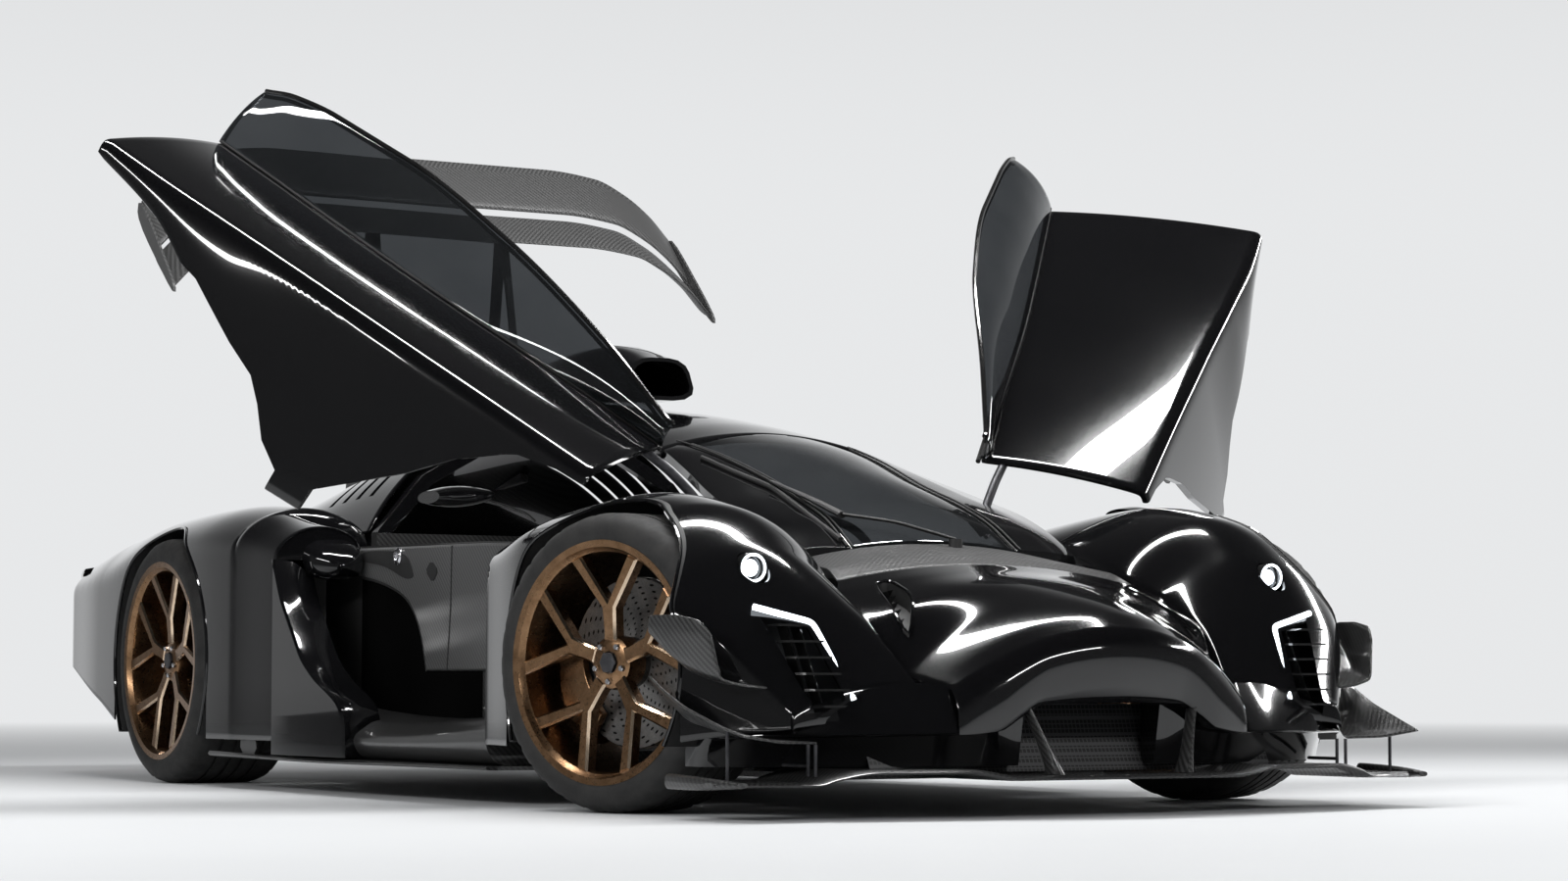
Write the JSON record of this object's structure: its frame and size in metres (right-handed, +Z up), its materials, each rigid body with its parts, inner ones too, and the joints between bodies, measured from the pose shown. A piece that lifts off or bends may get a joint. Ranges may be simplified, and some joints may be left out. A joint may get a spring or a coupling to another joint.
{
  "type": "hypercar",
  "caption": "Low two-seat hypercar with raised dihedral doors, narrow canopy, tall rear wing, splitter and bronze wheels.",
  "frame": {"origin": "on the ground, below the middle of the car's length and width", "axes": "+X forward along the car, +Y to its left, +Z up"},
  "size_m": [4.63, 3.6218, 1.992],
  "materials": {
    "black_paint": "deep gloss black lacquer",
    "gloss_carbon": "lacquered woven carbon",
    "satin_carbon": "satin woven carbon",
    "tinted_glass": "tinted, polished",
    "bronze_wheel": "satin bronze",
    "tyre": "matt, treaded",
    "brake_disc": "carbon ceramic, turned",
    "cast_metal": "cast, satin",
    "dark_metal": "satin black",
    "exhaust_metal": "brushed, heat tinted",
    "white_light": "glowing white",
    "red_light": "glowing red",
    "seat_cover": "suede cloth",
    "dark_trim": "matt moulded"
  },
  "bodies": {
    "chassis": {"bumper": "black_paint", "cowl": "satin_carbon", "dashboard": "dark_trim", "engine_block": "dark_metal", "engine_cover": "black_paint", "exhausts": "exhaust_metal", "front_fender_left": "black_paint", "front_fender_right": "black_paint", "headlamps": "white_light", "knuckles_rear": "cast_metal", "lamp_louvres": "dark_trim", "mirrors": "black_paint", "nose": "black_paint", "rear_fascia": "black_paint", "rear_fender_left": "black_paint", "rear_fender_right": "black_paint", "roof_frame": "black_paint", "roof_scoop": "black_paint", "seats": "seat_cover", "side_panel_left": "gloss_carbon", "side_panel_right": "gloss_carbon", "splitter": "gloss_carbon", "suspension": "dark_metal", "tail_lamp": "red_light", "tub": "gloss_carbon", "underbody": "satin_carbon", "windscreen": "tinted_glass", "wing": "satin_carbon", "wing_struts": "satin_carbon"},
    "door_left": {"door_glass_left": "tinted_glass", "door_skin_left": "black_paint", "door_trim_left": "dark_trim"},
    "door_right": {"door_glass_right": "tinted_glass", "door_skin_right": "black_paint", "door_trim_right": "dark_trim"},
    "steer_left": {"knuckle_front_left": "cast_metal"},
    "steer_right": {"knuckle_front_right": "cast_metal"},
    "wheel_front_left": {"brake_disc_front_left": "brake_disc", "rim_front_left": "bronze_wheel", "tyre_front_left": "tyre"},
    "wheel_front_right": {"brake_disc_front_right": "brake_disc", "rim_front_right": "bronze_wheel", "tyre_front_right": "tyre"},
    "wheel_rear_left": {"brake_disc_rear_left": "brake_disc", "rim_rear_left": "bronze_wheel", "tyre_rear_left": "tyre"},
    "wheel_rear_right": {"brake_disc_rear_right": "brake_disc", "rim_rear_right": "bronze_wheel", "tyre_rear_right": "tyre"}
  },
  "joints": [
    {"name": "door_left_hinge", "type": "hinge", "parent": "chassis", "child": "door_left", "pos_m": [1.073, 0.41, 0.71], "axis": [-0.197, -0.5551, 0.8081], "range_deg": [0, 55.3]},
    {"name": "steer_left", "type": "hinge", "parent": "chassis", "child": "steer_left", "pos_m": [1.49, 0.7805, 0.347], "axis": [0, 0, 1], "range_deg": [-46, 10]},
    {"name": "spin_front_left", "type": "hinge", "parent": "steer_left", "child": "wheel_front_left", "pos_m": [1.47084, 0.83947, 0.347], "axis": [-0.309, 0.9511, 0], "continuous": true},
    {"name": "spin_rear_left", "type": "hinge", "parent": "chassis", "child": "wheel_rear_left", "pos_m": [-1.23, 0.8275, 0.363], "axis": [0, 1, 0], "continuous": true},
    {"name": "door_right_hinge", "type": "hinge", "parent": "chassis", "child": "door_right", "pos_m": [1.073, -0.41, 0.71], "axis": [0.197, -0.5551, -0.8081], "range_deg": [0, 55.3]},
    {"name": "steer_right", "type": "hinge", "parent": "chassis", "child": "steer_right", "pos_m": [1.49, -0.7805, 0.347], "axis": [0, 0, 1], "range_deg": [-46, 10]},
    {"name": "spin_front_right", "type": "hinge", "parent": "steer_right", "child": "wheel_front_right", "pos_m": [1.50916, -0.83947, 0.347], "axis": [-0.309, 0.9511, 0], "continuous": true},
    {"name": "spin_rear_right", "type": "hinge", "parent": "chassis", "child": "wheel_rear_right", "pos_m": [-1.23, -0.8275, 0.363], "axis": [0, 1, 0], "continuous": true}
  ],
  "couplings": [
    {"joint": "steer_right", "follows": "steer_left", "ratio": 1}
  ]
}
